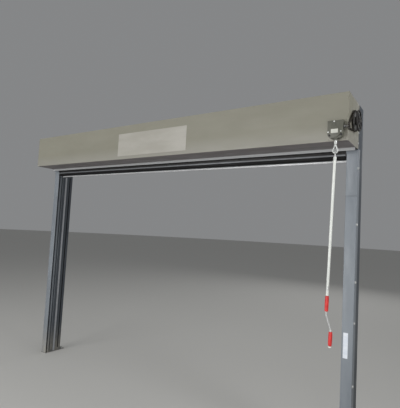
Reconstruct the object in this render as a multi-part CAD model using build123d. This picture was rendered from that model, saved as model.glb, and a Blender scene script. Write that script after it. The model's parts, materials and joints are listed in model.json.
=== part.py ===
from build123d import *
import os
from math import acos, asin, atan2, cos, degrees, pi, radians, sin, sqrt

os.makedirs("parts", exist_ok=True)

# Frame: X to the right along the wall, Y into the wall, Z up, all in millimetres.
# The origin is on the floor, on the left post's centre line, in the plane of the wall's face.

# Opening and posts
opening_width = 3765.0          # between the inner edges of the two guides
post_width = 76.0
post_depth = 152.0
post_wall = 5.0

# Foot plates under guide and post
foot_thickness = 8.0
foot_ear = 60.0                 # how far the plate runs on behind the post
anchor_spacing = 50.0
anchor_radius = 7.0
head_bolt_spacing = 150.0       # bolts in the back of the post, near its top
head_bolt_drop = 60.0           # top bolt below the top of the post
head_bolt_radius = 7.0

# Guides
guide_width = 86.0
guide_depth = 73.0
guide_plate = 5.0
slot_width = 22.0               # where the ends of the slats run
rear_channel_depth = 20.0
rear_channel_wall = 3.0
cover_return = 20.0             # flange of the front cover along the spine
seam_height = 2087.0            # joint between the lower and the upper front cover
seam_gap = 2.0
guide_top_gap = 3.0             # between the guides' top and the hood's bottom
flare_radius = 40.0
flare_angle = 70.0
brush_width = 5.0
brush_inset = 4.0

# Hood
hood_bottom = 2469.0
hood_inset = 12.5               # hood's end inside the guide's outer edge
front_clearance = 9.4           # wound curtain to the hood's front
height_clearance = 32.45        # wound curtain to the hood's top and bottom
sheet = 1.5
bend_radius = 4.0
lip_drop = 25.0                 # bent-down lip at the back edge of the hood's bottom
lip_clearance = 45.0            # between the guides' front and the lip
back_flange = 20.0
flare_rise = 6.0                # flared guide tops above the lip's lower edge, behind it
end_plate = 5.0
end_corner = 8.0
bracket_leg = 50.0
bracket_thickness = 5.0
bracket_raise = 8.0             # its lower end above the hood's bottom
bracket_top_gap = 6.0           # its upper end below the hood's back flange

# Curtain
slat_pitch = 67.0
slat_thickness = 8.0
slat_clearance = 2.0            # behind the slats, in the guide's slot
hinge_radius = 7.0              # rolled joint between two slats
coil_step = 19.0                # added radius for each turn
coil_slats = 39
slat_entry = 60.0               # how far the slats reach into each guide

# Barrel
barrel_radius = 51.0
barrel_wall = 3.0
barrel_cap = 6.0
barrel_end_gap = 30.0           # barrel end to end plate
shaft_radius = 15.0
shaft_inset = 1.0               # left shaft end inside the outer face of the end plate
bearing_radius = 42.0
bearing_length = 20.0
running_clearance = 0.3

# Bottom bar in the open position
bar_height = 75.0
bar_drop = 59.0                 # its underside below the hood's bottom
bar_foot_depth = 32.0
bar_foot_thickness = 4.0
bar_edge_height = 12.0          # upturned front and back edge of its foot
bar_side_gap = 6.0
seal_height = 28.0
seal_depth = 46.0

# Lintel plate and seal, fixed to the wall between the guides
lintel_height = 95.0
lintel_gap = 3.0                # its upper edge below the hood's bottom
lintel_thickness = 5.0
retainer_height = 14.0
retainer_depth = 10.0

# Gearbox on the front of the hood
gear_inset = 82.0               # crank line to the hood's right end
gear_plate_width = 127.0
gear_plate_height = 150.0
gear_plate_thickness = 5.0
gear_plate_raise = 9.0          # its lower edge above the hood's bottom
housing_width = 112.0
housing_height = 132.0
housing_depth = 42.0
housing_corner = 34.0
housing_raise = 4.0
cover_radius = 38.0
cover_height = 8.0
cover_raise = 4.0               # round cover above the housing's lower edge
boss_radius = 15.0
boss_length = 12.0

# Chain drive at the hood's right end
drive_raise = 86.0              # output shaft above the housing's lower edge
drive_shaft_radius = 8.0
drive_collar_radius = 13.0
drive_collar_length = 14.0
chain_pitch = 12.7
chain_height = 11.6             # link plates, across the run
chain_width = 15.0
chain_offset = 12.0             # middle of the chain outside the hood's end
sprocket_thickness = 7.0
small_teeth = 9
large_teeth = 38
wheel_radius = 82.0
wheel_rim = 11.0
wheel_thickness = 10.0
wheel_reach = 45.0              # outer face of the wheel outside the hood's end
wheel_spokes = 4
spoke_width = 16.0
hub_radius = 34.0
shaft_stub = 52.0               # right shaft end outside the hood's end

# Input eye and hanging crank
eye_shaft_radius = 6.0
eye_shaft_entry = 15.0          # how far the shaft runs up into the housing
eye_bore_entry = 20.0
eye_drop = 95.5                 # gearbox boss to the middle of the eye's lower bow
eye_radius = 16.5
eye_length = 68.0
eye_wire = 5.5
eye_socket_radius = 11.0        # collar between the eye and its shaft
eye_socket_gap = 5.0            # below the gearbox boss
eye_socket_chamfer = 4.0
ring_radius = 11.0
ring_wire = 3.5
ring_clearance = 0.4
held_lean = 0.8                 # degrees to the side, held by friction in the ring
shank_radius = 5.0
shank_length = 10.0             # between the ring and the ferrule
ferrule_radius = 11.5
ferrule_length = 36.0
ferrule_chamfer = 4.0
pole_radius = 10.0
pole_length = 980.0
pole_wall = 1.5
pole_plug = 30.0                # solid lower end of the pole, round the rod's root
rod_radius = 6.0
grip_radius = 14.0
upper_grip_length = 111.0
lower_grip_length = 97.0
grip_rounding = 3.0
grip_gap = 3.0                  # end play of a grip between its collars
upper_rod = 28.0                # rod below the upper grip, before the slanted arm
arm_drop = 87.0
arm_throw_side = 53.0
arm_throw_front = 60.0
lower_rod = 8.0                 # rod above the lower grip
rod_bend = 14.0
collar_radius = 10.0
collar_length = 5.0
cap_radius = 12.0
cap_length = 8.0
socket_radius = 12.0
socket_length = 28.0
socket_raise = 40.0             # clamp ring above the pole's lower end
steel_density = 7.85
aluminium_density = 2.7
plastic_density = 1.1


def save(name, shape):
    """Write one named piece."""
    export_step(shape, f"parts/{name}.step")


def block(x0, x1, y0, y1, z0, z1):
    """A box given by its two corners, in any order."""
    centre = Pos((x0 + x1) / 2, (y0 + y1) / 2, (z0 + z1) / 2)
    return centre * Box(abs(x1 - x0), abs(y1 - y0), abs(z1 - z0))


def along_x(points, x0, x1):
    """Extrude an outline of (y, z) points from x0 to x1."""
    outline = Plane.YZ.offset(x0) * make_face(Polyline(*points, close=True))
    return extrude(outline, amount=x1 - x0, dir=(1, 0, 0))


def rod_x(y, z, radius, x0, x1):
    """A round bar along X."""
    return Pos((x0 + x1) / 2, y, z) * Rot(0, 90, 0) * Cylinder(radius, abs(x1 - x0))


def rod_z(x, y, radius, z0, z1):
    """A round bar along Z."""
    return Pos(x, y, (z0 + z1) / 2) * Cylinder(radius, abs(z1 - z0))


# Slot of the guides and plane of the curtain

left_edge = post_width / 2
right_edge = left_edge + opening_width
sides = {"left": (left_edge, -1), "right": (right_edge, 1)}
slot_front = guide_depth - guide_plate
slot_back = slot_front - slot_width
slat_half = slat_thickness / 2
slat_front = slot_back + slat_clearance + slat_thickness
curtain_plane = -(slot_back + slat_clearance + slat_half)


def coil_joints():
    """Slat joints along the spiral, as (radius, angle), from the barrel outwards."""
    radius = sqrt((barrel_radius + running_clearance + slat_half) ** 2 + (slat_pitch / 2) ** 2)
    turn_growth = coil_step / (2 * pi)
    angle = 0.0
    found = [(radius, angle)]
    for k in range(coil_slats):
        step = 2 * asin(slat_pitch / 2 / radius)
        angle -= step
        radius += turn_growth * step
        found.append((radius, angle))
    return [(r, a - angle) for r, a in found]


joints = coil_joints()
coil_outer = joints[-1][0]
coil_reach = coil_outer + hinge_radius

# Hood and barrel round the wound curtain

hood_left = left_edge - guide_width + hood_inset
hood_right = right_edge + guide_width - hood_inset
barrel_y = curtain_plane - coil_outer
barrel_z = hood_bottom + sheet + height_clearance + coil_reach
hood_top = barrel_z + coil_reach + height_clearance + sheet
hood_depth = coil_reach + front_clearance + sheet - barrel_y
lip_front = -(guide_depth + lip_clearance + sheet)
lip_bottom = hood_bottom - lip_drop
flare_top = lip_bottom + flare_rise
bar_bottom = hood_bottom - bar_drop
lintel_top = hood_bottom - lintel_gap
lintel_bottom = lintel_top - lintel_height


def at_guide(side, u0, u1, v0, v1, z0, z1):
    """A box beside the opening: u outwards from the guide's inner edge, v out from the wall."""
    edge, out = sides[side]
    return block(edge + out * u0, edge + out * u1, -v0, -v1, z0, z1)


# Posts and feet

def foot_plate(side):
    plate = at_guide(side, 0, guide_width, guide_depth, -(post_depth + foot_ear), 0, foot_thickness)
    edge, out = sides[side]
    for offset in (-anchor_spacing / 2, anchor_spacing / 2):
        x = edge + out * (post_width / 2) + offset
        plate -= rod_z(x, post_depth + foot_ear / 2, anchor_radius, -1, foot_thickness + 1)
    return plate


def post(side):
    tube = at_guide(side, 0, post_width, 0, -post_depth, foot_thickness, hood_top)
    tube -= at_guide(side, post_wall, post_width - post_wall, -post_wall, -(post_depth - post_wall),
                     foot_thickness - 1, hood_top - post_wall)
    edge, out = sides[side]
    for k in range(2):
        z = hood_top - head_bolt_drop - k * head_bolt_spacing
        hole = Rot(90, 0, 0) * Cylinder(head_bolt_radius, 2 * post_wall)
        tube -= Pos(edge + out * post_width / 2, post_depth - post_wall / 2, z) * hole
    return tube


# Guides

guide_top = hood_bottom - guide_top_gap
flare_start = flare_top - flare_radius * sin(radians(flare_angle))


def guide_wall_angle(side):
    wall_leg = at_guide(side, 0, guide_width, 0, guide_plate, foot_thickness, guide_top)
    spine = at_guide(side, guide_width - guide_plate, guide_width, guide_plate, slot_front,
                     foot_thickness, guide_top)
    return wall_leg + spine


def guide_rear_channel(side):
    inner = guide_width - guide_plate
    back = slot_back - rear_channel_depth
    channel = at_guide(side, 0, inner, back, slot_back, foot_thickness, guide_top)
    channel -= at_guide(side, rear_channel_wall, inner + 1, back + rear_channel_wall,
                        slot_back - rear_channel_wall, foot_thickness - 1, guide_top + 1)
    return channel


def cover_section(side, z0, z1):
    """Front plate of the guide with the flange that is bolted to the spine."""
    inner = guide_width - guide_plate
    plate = at_guide(side, 0, guide_width, slot_front, guide_depth, z0, z1)
    flange = at_guide(side, inner - guide_plate, inner, slot_front - cover_return, slot_front, z0, z1)
    return plate + flange


def guide_top_cover(side):
    """Upper front plate, whose top is flared outwards to lead the curtain in."""
    edge, out = sides[side]
    low = cover_section(side, seam_height + seam_gap, flare_start)
    angle = radians(flare_angle)
    half = angle / 2
    y_centre = -guide_depth - flare_radius + guide_plate
    outer = flare_radius
    inner = flare_radius - guide_plate
    tip = (y_centre + outer * cos(angle), flare_start + outer * sin(angle))
    nose = (y_centre + inner * cos(angle), flare_start + inner * sin(angle))
    outline = [
        ThreePointArc((y_centre + outer, flare_start),
                      (y_centre + outer * cos(half), flare_start + outer * sin(half)), tip),
        Line(tip, nose),
        ThreePointArc(nose, (y_centre + inner * cos(half), flare_start + inner * sin(half)),
                      (y_centre + inner, flare_start)),
        Line((y_centre + inner, flare_start), (y_centre + outer, flare_start)),
    ]
    x0 = min(edge, edge + out * guide_width)
    face = Plane.YZ.offset(x0) * make_face(Curve() + outline)
    return low + extrude(face, amount=guide_width, dir=(1, 0, 0))


def guide_brush(side):
    return at_guide(side, brush_inset, brush_inset + brush_width, slat_front + running_clearance,
                    slot_front, foot_thickness, flare_start)


# Lintel plate and its seal

def lintel_plate():
    return block(left_edge, right_edge, -lintel_thickness, 0, lintel_bottom, lintel_top)


def lintel_retainer():
    front = -(lintel_thickness + retainer_depth)
    return block(left_edge, right_edge, front, -lintel_thickness, lintel_bottom,
                 lintel_bottom + retainer_height)


# Hood

def hood_outline():
    """Section of the bent hood sheet: back flange, top, front, bottom return and lip."""
    t = sheet
    outer = [(0, hood_top - back_flange), (0, hood_top), (-hood_depth, hood_top),
             (-hood_depth, hood_bottom), (lip_front, hood_bottom), (lip_front, lip_bottom)]
    inner = [(lip_front + t, lip_bottom), (lip_front + t, hood_bottom + t),
             (-hood_depth + t, hood_bottom + t), (-hood_depth + t, hood_top - t),
             (-t, hood_top - t), (-t, hood_top - back_flange)]
    section = make_face(Polyline(*outer, *inner, close=True))
    outside = section.vertices().group_by(Axis.X)[0]
    section = fillet(outside, bend_radius)
    inside = [p for p in section.vertices() if abs(p.X + hood_depth - t) < t / 10]
    return fillet(inside, bend_radius - t)


def hood_sheet():
    section = Plane.YZ.offset(hood_left) * hood_outline()
    return extrude(section, amount=hood_right - hood_left, dir=(1, 0, 0))


def end_plate_solid(side):
    """Bracket plate that closes the hood's end and carries the barrel's bearing."""
    x0 = hood_left if side == "left" else hood_right - end_plate
    low = hood_bottom + sheet
    high = hood_top - sheet
    front = -hood_depth + sheet
    c = end_corner
    points = [(-sheet, low), (front + c, low), (front, low + c), (front, high - c), (front + c, high),
              (-sheet, high)]
    plate = along_x(points, x0, x0 + end_plate)
    return plate - rod_x(barrel_y, barrel_z, shaft_radius + running_clearance, x0 - 1, x0 + end_plate + 1)


def bracket_angle(side):
    """Angle that bolts the bracket plate to the front of the post."""
    inwards = 1 if side == "left" else -1
    x0 = hood_left + end_plate if side == "left" else hood_right - end_plate
    z0 = hood_bottom + bracket_raise
    z1 = hood_top - back_flange - bracket_top_gap
    wall_leg = block(x0, x0 + inwards * bracket_leg, -bracket_thickness, 0, z0, z1)
    plate_leg = block(x0, x0 + inwards * bracket_thickness, -bracket_leg, 0, z0, z1)
    return wall_leg + plate_leg


def bearing(side):
    """Round bearing housing on the inner face of the bracket plate."""
    x0 = hood_left + end_plate if side == "left" else hood_right - end_plate
    x1 = x0 + bearing_length if side == "left" else x0 - bearing_length
    ring = rod_x(barrel_y, barrel_z, bearing_radius, x0, x1)
    return ring - rod_x(barrel_y, barrel_z, shaft_radius + running_clearance, x0, x1)


def barrel_pipe():
    x0 = hood_left + end_plate + barrel_end_gap
    x1 = hood_right - end_plate - barrel_end_gap
    pipe = rod_x(barrel_y, barrel_z, barrel_radius, x0, x1)
    pipe -= rod_x(barrel_y, barrel_z, barrel_radius - barrel_wall, x0 + barrel_cap, x1 - barrel_cap)
    return pipe - rod_x(barrel_y, barrel_z, shaft_radius + running_clearance, x0, x1)


def barrel_shaft():
    return rod_x(barrel_y, barrel_z, shaft_radius, hood_left + shaft_inset, hood_right + shaft_stub)


# Curtain

curtain_left = left_edge - slat_entry
curtain_right = right_edge + slat_entry


def curtain_coil():
    """The wound slats, each one straight between its two rolled joints."""
    outer = []
    inner = []
    for r, a in joints:
        reach = slat_half / sqrt(1 - (slat_pitch / 2 / r) ** 2)
        outer.append((barrel_y + (r + reach) * cos(a), barrel_z + (r + reach) * sin(a)))
        inner.append((barrel_y + (r - reach) * cos(a), barrel_z + (r - reach) * sin(a)))
    section = make_face(Polyline(*outer, *reversed(inner), close=True))
    for r, a in joints:
        section += Pos(barrel_y + r * cos(a), barrel_z + r * sin(a)) * Circle(hinge_radius)
    length = curtain_right - curtain_left
    return extrude(Plane.YZ.offset(curtain_left) * section, amount=length, dir=(1, 0, 0))


def hanging_slats():
    """The slats between the coil and the bottom bar."""
    top = barrel_z - hinge_radius - running_clearance
    bottom = bar_bottom + bar_height
    section = block(curtain_left, curtain_right, curtain_plane - slat_half, curtain_plane + slat_half,
                    bottom, top)
    z = barrel_z - slat_pitch
    while z > bottom + hinge_radius:
        section += rod_x(curtain_plane, z, hinge_radius, curtain_left, curtain_right)
        z -= slat_pitch
    return section


def bottom_bar():
    web = block(curtain_left, curtain_right, curtain_plane - slat_half, curtain_plane + slat_half,
                bar_bottom, bar_bottom + bar_height)
    reach = slat_half + bar_foot_depth
    inside = reach - bar_foot_thickness
    left = left_edge + bar_side_gap
    right = right_edge - bar_side_gap
    bar = web + block(left, right, curtain_plane - reach, curtain_plane + reach,
                      bar_bottom, bar_bottom + bar_foot_thickness)
    for way in (-1, 1):
        bar += block(left, right, curtain_plane + way * inside, curtain_plane + way * reach,
                     bar_bottom, bar_bottom + bar_edge_height)
    return bar


def bottom_seal():
    """Rubber loop under the bottom bar."""
    half = seal_depth / 2
    low = bar_bottom - seal_height
    points = [(curtain_plane - half, bar_bottom), (curtain_plane - half, low + half / 2),
              (curtain_plane - half / 2, low), (curtain_plane + half / 2, low),
              (curtain_plane + half, low + half / 2), (curtain_plane + half, bar_bottom)]
    return along_x(points, left_edge + bar_side_gap, right_edge - bar_side_gap)


# Gearbox

crank_x = hood_right - gear_inset
gear_front = -hood_depth - gear_plate_thickness
housing_bottom = hood_bottom + gear_plate_raise + housing_raise
crank_y = gear_front - housing_depth / 2
housing_right = crank_x + housing_width / 2
drive_z = housing_bottom + drive_raise


def gearbox_plate():
    z0 = hood_bottom + gear_plate_raise
    return block(crank_x - gear_plate_width / 2, crank_x + gear_plate_width / 2,
                 gear_front, -hood_depth, z0, z0 + gear_plate_height)


def gearbox_housing():
    x0 = crank_x - housing_width / 2
    z0 = housing_bottom
    body = block(x0, housing_right, gear_front - housing_depth, gear_front, z0, z0 + housing_height)
    low = [e for e in body.edges().filter_by(Axis.Y) if e.center().Z < z0 + 1]
    body = fillet(low, housing_corner)
    cover = Rot(90, 0, 0) * Cylinder(cover_radius, cover_height)
    cover_z = z0 + cover_raise + cover_radius
    body += Pos(crank_x, gear_front - housing_depth - cover_height / 2, cover_z) * cover
    boss = rod_z(crank_x, crank_y, boss_radius, z0 - boss_length, z0 + 1)
    bore = rod_z(crank_x, crank_y, eye_shaft_radius + running_clearance, z0 - boss_length - 1,
                 z0 + eye_bore_entry)
    return body + boss - bore


# Chain drive from the gearbox to the barrel's shaft

chain_x = hood_right + chain_offset
small_pitch_radius = chain_pitch / (2 * sin(pi / small_teeth))
large_pitch_radius = chain_pitch / (2 * sin(pi / large_teeth))


def drive_shaft():
    """Output shaft of the gearbox, with its collar."""
    end = chain_x + chain_width / 2
    shaft = rod_x(crank_y, drive_z, drive_shaft_radius, housing_right, end)
    collar = rod_x(crank_y, drive_z, drive_collar_radius, housing_right, housing_right + drive_collar_length)
    return shaft + collar


def sprocket(y, z, pitch_radius, bore):
    radius = pitch_radius - chain_height / 2 - running_clearance
    x0 = chain_x - sprocket_thickness / 2
    x1 = chain_x + sprocket_thickness / 2
    return rod_x(y, z, radius, x0, x1) - rod_x(y, z, bore + running_clearance, x0 - 1, x1 + 1)


def chain_loop(grow):
    """Outline of the chain's loop round both sprockets, grown from its pitch line."""
    dy = barrel_y - crank_y
    dz = barrel_z - drive_z
    heading = atan2(dz, dy)
    spread = asin((large_pitch_radius - small_pitch_radius) / sqrt(dy ** 2 + dz ** 2))
    small = small_pitch_radius + grow
    large = large_pitch_radius + grow

    def at(y, z, radius, angle):
        return (y + radius * cos(angle), z + radius * sin(angle))

    upper = heading + pi / 2 + spread
    lower = heading - pi / 2 - spread
    small_ends = (at(crank_y, drive_z, small, upper), at(crank_y, drive_z, small, lower))
    large_ends = (at(barrel_y, barrel_z, large, upper), at(barrel_y, barrel_z, large, lower))
    outline = [
        Line(small_ends[0], large_ends[0]),
        ThreePointArc(large_ends[0], at(barrel_y, barrel_z, large, heading), large_ends[1]),
        Line(large_ends[1], small_ends[1]),
        ThreePointArc(small_ends[1], at(crank_y, drive_z, small, heading + pi), small_ends[0]),
    ]
    return make_face(Curve() + outline)


def drive_chain():
    section = chain_loop(chain_height / 2) - chain_loop(-chain_height / 2)
    return extrude(Plane.YZ.offset(chain_x - chain_width / 2) * section, amount=chain_width, dir=(1, 0, 0))


def adjusting_wheel():
    """Spoked wheel on the end of the barrel's shaft."""
    x1 = hood_right + wheel_reach
    x0 = x1 - wheel_thickness
    hub_start = chain_x + sprocket_thickness / 2 + running_clearance
    spoke_length = wheel_radius - wheel_rim / 2
    wheel = rod_x(barrel_y, barrel_z, wheel_radius, x0, x1)
    wheel -= rod_x(barrel_y, barrel_z, wheel_radius - wheel_rim, x0 - 1, x1 + 1)
    for k in range(wheel_spokes):
        turn = 360 / wheel_spokes * (k + 0.5)
        spoke = Pos(0, 0, spoke_length / 2) * Box(wheel_thickness, spoke_width, spoke_length)
        wheel += Pos((x0 + x1) / 2, barrel_y, barrel_z) * Rot(turn, 0, 0) * spoke
    wheel += rod_x(barrel_y, barrel_z, hub_radius, hub_start, x1)
    return wheel - rod_x(barrel_y, barrel_z, shaft_radius + running_clearance, hub_start - 1, x1 + 1)


# Input eye

boss_bottom = housing_bottom - boss_length
pivot_z = boss_bottom - eye_drop


def input_eye():
    centre = pivot_z + eye_radius
    apex = pivot_z + eye_length
    lean = acos(eye_radius / (apex - centre))
    touch_x = eye_radius * sin(lean)
    touch_z = centre + eye_radius * cos(lean)
    path = Curve() + [
        Line((crank_x, crank_y, apex), (crank_x - touch_x, crank_y, touch_z)),
        ThreePointArc((crank_x - touch_x, crank_y, touch_z), (crank_x, crank_y, pivot_z),
                      (crank_x + touch_x, crank_y, touch_z)),
    ]
    half = sweep(Plane(origin=(crank_x, crank_y, apex), z_dir=path.edges()[0] % 0) * Circle(eye_wire), path)
    last = (crank_x + touch_x, crank_y, touch_z)
    run = Vector(crank_x, crank_y, apex) - Vector(*last)
    side = extrude(Plane(origin=last, z_dir=run) * Circle(eye_wire), amount=run.length)
    shaft = rod_z(crank_x, crank_y, eye_shaft_radius, apex - eye_wire / 2, housing_bottom + eye_shaft_entry)
    socket = rod_z(crank_x, crank_y, eye_socket_radius, apex - eye_wire, boss_bottom - eye_socket_gap)
    socket = chamfer(socket.edges().filter_by(GeomType.CIRCLE).group_by(Axis.Z)[0], eye_socket_chamfer)
    return half + side + shaft + socket


# Crank, drawn with its pivot at the origin and then hung in the eye

def crank_levels():
    """Heights below the pivot of the crank's pieces, from the ring down."""
    ring_top = eye_wire + ring_clearance + ring_wire
    levels = {"ring_centre": ring_top - ring_radius}
    levels["ferrule_top"] = levels["ring_centre"] - ring_radius - ring_wire - shank_length
    levels["pole_top"] = levels["ferrule_top"] - ferrule_length
    levels["pole_bottom"] = levels["pole_top"] - pole_length
    levels["upper_top"] = levels["pole_bottom"] - grip_gap
    levels["upper_bottom"] = levels["upper_top"] - upper_grip_length
    levels["arm_top"] = levels["upper_bottom"] - upper_rod
    levels["arm_bottom"] = levels["arm_top"] - arm_drop
    levels["lower_top"] = levels["arm_bottom"] - lower_rod
    levels["lower_bottom"] = levels["lower_top"] - lower_grip_length
    levels["end"] = levels["lower_bottom"] - grip_gap
    return levels


level = crank_levels()


def crank_hook():
    ring = Pos(0, 0, level["ring_centre"]) * Rot(0, 90, 0) * Torus(ring_radius, ring_wire)
    ferrule = rod_z(0, 0, ferrule_radius, level["pole_top"], level["ferrule_top"])
    top = ferrule.edges().group_by(Axis.Z)[-1]
    ferrule = chamfer(top, ferrule_chamfer)
    shank = rod_z(0, 0, shank_radius, level["ferrule_top"] - 1,
                  level["ferrule_top"] + shank_length + 2 * ring_wire)
    shank -= Pos(0, 0, level["ring_centre"]) * Rot(0, 90, 0) * Cylinder(ring_radius, 4 * ring_wire)
    return ring + ferrule + shank


def crank_pole():
    tube = rod_z(0, 0, pole_radius, level["pole_bottom"], level["pole_top"])
    return tube - rod_z(0, 0, pole_radius - pole_wall, level["pole_bottom"] + pole_plug,
                        level["pole_top"] - pole_wall)


def crank_socket():
    """Clamp ring round the pole above the upper grip."""
    z0 = level["pole_bottom"] + socket_raise
    ring = rod_z(0, 0, socket_radius, z0, z0 + socket_length)
    return ring - rod_z(0, 0, pole_radius, z0, z0 + socket_length)


def crank_rod():
    """Bent rod through both grips, with the collars that keep the grips in place."""
    throw = (arm_throw_side, -arm_throw_front)
    points = [(0, 0, level["pole_bottom"]), (0, 0, level["arm_top"]),
              (throw[0], throw[1], level["arm_bottom"]), (throw[0], throw[1], level["end"])]
    path = FilletPolyline(*points, radius=rod_bend)
    rod = sweep(Plane(origin=points[0], z_dir=(0, 0, -1)) * Circle(rod_radius), path)
    rod += rod_z(0, 0, collar_radius, level["upper_bottom"] - grip_gap - collar_length,
                 level["upper_bottom"] - grip_gap)
    rod += rod_z(throw[0], throw[1], collar_radius, level["lower_top"] + grip_gap,
                 level["lower_top"] + grip_gap + collar_length)
    return rod


def crank_cap():
    return rod_z(arm_throw_side, -arm_throw_front, cap_radius, level["end"] - cap_length, level["end"])


def grip(x, y, top, bottom):
    """Plain sleeve that turns on the rod."""
    sleeve = rod_z(x, y, grip_radius, bottom, top)
    sleeve = fillet(sleeve.edges().filter_by(GeomType.CIRCLE), grip_rounding)
    return sleeve - rod_z(x, y, rod_radius + running_clearance, bottom - 1, top + 1)


crank_parts = {
    "crank_hook": (crank_hook(), steel_density),
    "crank_pole": (crank_pole(), aluminium_density),
    "crank_socket": (crank_socket(), steel_density),
    "crank_rod": (crank_rod(), steel_density),
    "crank_cap": (crank_cap(), plastic_density),
    "upper_grip": (grip(0, 0, level["upper_top"], level["upper_bottom"]), plastic_density),
    "lower_grip": (grip(arm_throw_side, -arm_throw_front, level["lower_top"], level["lower_bottom"]),
                   plastic_density),
}

# The crank hangs with its centre of mass under the eye, but for the side lean that its ring holds
mass = sum(solid.volume * density for solid, density in crank_parts.values())
centre = Vector(0, 0, 0)
for solid, density in crank_parts.values():
    centre += solid.center(CenterOf.MASS) * (solid.volume * density / mass)
lean_side = degrees(atan2(centre.X, -centre.Z)) + held_lean
lean_front = degrees(atan2(-centre.Y, sqrt(centre.X ** 2 + centre.Z ** 2)))
hang = Pos(crank_x, crank_y, pivot_z) * Rot(lean_front, 0, 0) * Rot(0, lean_side, 0)


# Write every piece

for side in sides:
    save(f"{side}_foot_plate", foot_plate(side))
    save(f"{side}_post", post(side))
    save(f"{side}_guide_wall_angle", guide_wall_angle(side))
    save(f"{side}_guide_rear_channel", guide_rear_channel(side))
    save(f"{side}_guide_cover", cover_section(side, foot_thickness, seam_height))
    save(f"{side}_guide_top_cover", guide_top_cover(side))
    save(f"{side}_guide_brush", guide_brush(side))
    save(f"{side}_end_plate", end_plate_solid(side))
    save(f"{side}_bracket_angle", bracket_angle(side))
    save(f"{side}_bearing", bearing(side))

save("lintel_plate", lintel_plate())
save("lintel_seal_retainer", lintel_retainer())
save("hood_sheet", hood_sheet())
save("barrel_pipe", barrel_pipe())
save("barrel_shaft", barrel_shaft())
save("curtain_coil", curtain_coil())
save("hanging_slats", hanging_slats())
save("bottom_bar", bottom_bar())
save("bottom_seal", bottom_seal())
save("gearbox_plate", gearbox_plate())
save("gearbox_housing", gearbox_housing())
save("drive_shaft", drive_shaft())
save("drive_sprocket", sprocket(crank_y, drive_z, small_pitch_radius, drive_shaft_radius))
save("barrel_sprocket", sprocket(barrel_y, barrel_z, large_pitch_radius, shaft_radius))
save("drive_chain", drive_chain())
save("adjusting_wheel", adjusting_wheel())
save("input_eye", input_eye())
for name, (solid, density) in crank_parts.items():
    save(name, hang * solid)

print("crank line", crank_x, crank_y, "pivot height", pivot_z)
print("barrel axis", barrel_y, barrel_z, "coil radius", coil_outer)
print("hood depth", hood_depth, "hood top", hood_top, "drive height", drive_z)
print("pitch radii", small_pitch_radius, large_pitch_radius)
print("crank lean, side and front", lean_side, lean_front)
for name, point in (("upper grip", Vector(0, 0, level["upper_top"])),
                    ("lower grip", Vector(arm_throw_side, -arm_throw_front, level["lower_top"]))):
    print(name, "axis point", (hang * Pos(point)).position, "axis", Plane(hang).z_dir)
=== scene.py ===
import json
import random
from math import asin, atan2, cos, pi, radians, sin, sqrt

import bmesh
import bpy
from mathutils import Matrix, Vector


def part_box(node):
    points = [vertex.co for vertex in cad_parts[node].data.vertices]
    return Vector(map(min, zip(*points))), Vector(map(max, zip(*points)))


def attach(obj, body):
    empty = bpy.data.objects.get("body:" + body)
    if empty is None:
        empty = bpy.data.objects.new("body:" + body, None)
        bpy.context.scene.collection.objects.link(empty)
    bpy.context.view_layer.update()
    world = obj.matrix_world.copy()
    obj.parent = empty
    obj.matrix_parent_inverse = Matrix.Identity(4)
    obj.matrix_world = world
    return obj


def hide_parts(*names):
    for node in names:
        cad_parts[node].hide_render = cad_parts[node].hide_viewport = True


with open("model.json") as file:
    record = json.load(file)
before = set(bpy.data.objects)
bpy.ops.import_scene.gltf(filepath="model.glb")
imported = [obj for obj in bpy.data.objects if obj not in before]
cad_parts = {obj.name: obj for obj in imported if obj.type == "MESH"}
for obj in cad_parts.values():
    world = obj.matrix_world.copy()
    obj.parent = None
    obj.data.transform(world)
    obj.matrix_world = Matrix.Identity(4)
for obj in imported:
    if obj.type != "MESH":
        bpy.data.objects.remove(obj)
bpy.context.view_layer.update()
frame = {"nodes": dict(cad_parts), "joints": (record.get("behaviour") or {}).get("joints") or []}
nodes = frame["nodes"]
print("frame loaded,", len(nodes), "nodes")

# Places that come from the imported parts

hoodLow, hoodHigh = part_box("hood_sheet")
barLow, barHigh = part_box("bottom_bar")
sealLow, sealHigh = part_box("bottom_seal")
lintelLow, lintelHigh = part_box("lintel_plate")
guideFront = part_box("right_guide_cover")[0].y
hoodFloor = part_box("left_end_plate")[0].z     # underside of the hood, without its lip
sides = {"left": -1, "right": 1}
touch = 0.0001      # nearer than this counts as the same place
square = 0.9        # share of a normal or an edge along an axis that counts as following it


def middleOf(node):
    low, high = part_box(node)
    return (low + high) / 2


def faceX(node, way):
    low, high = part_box(node)
    return high.x if way > 0 else low.x


# Modelling helpers

towards = {
    "up": Matrix.Identity(4),
    "front": Matrix.Rotation(pi / 2, 4, "X"),
    "back": Matrix.Rotation(-pi / 2, 4, "X"),
    "right": Matrix.Rotation(pi / 2, 4, "Y"),
    "left": Matrix.Rotation(-pi / 2, 4, "Y"),
}


def leaveEdit():
    bpy.ops.object.mode_set(mode="OBJECT")


def takeAll():
    bpy.ops.mesh.select_all(action="SELECT")


def clearSelection():
    if bpy.context.object and bpy.context.object.mode != "OBJECT":
        leaveEdit()
    bpy.ops.object.select_all(action="DESELECT")


def choose(*pieces):
    clearSelection()
    for piece in pieces:
        piece.select_set(True)
    bpy.context.view_layer.objects.active = pieces[0]


def settle(piece):
    choose(piece)
    bpy.ops.object.transform_apply(location=True, rotation=True, scale=True)
    return piece


def moveTo(piece, spot, turn):
    piece.matrix_world = Matrix.Translation(spot) @ turn
    return settle(piece)


def removeShape(piece):
    mesh = piece.data
    bpy.data.objects.remove(piece)
    bpy.data.meshes.remove(mesh)


def named(name):
    bpy.context.object.name = name
    return bpy.context.object


def bar(name, low, high):
    clearSelection()
    low, high = Vector(low), Vector(high)
    bpy.ops.mesh.primitive_cube_add(size=1, location=(low + high) / 2)
    piece = named(name)
    piece.scale = high - low
    return settle(piece)


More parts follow.
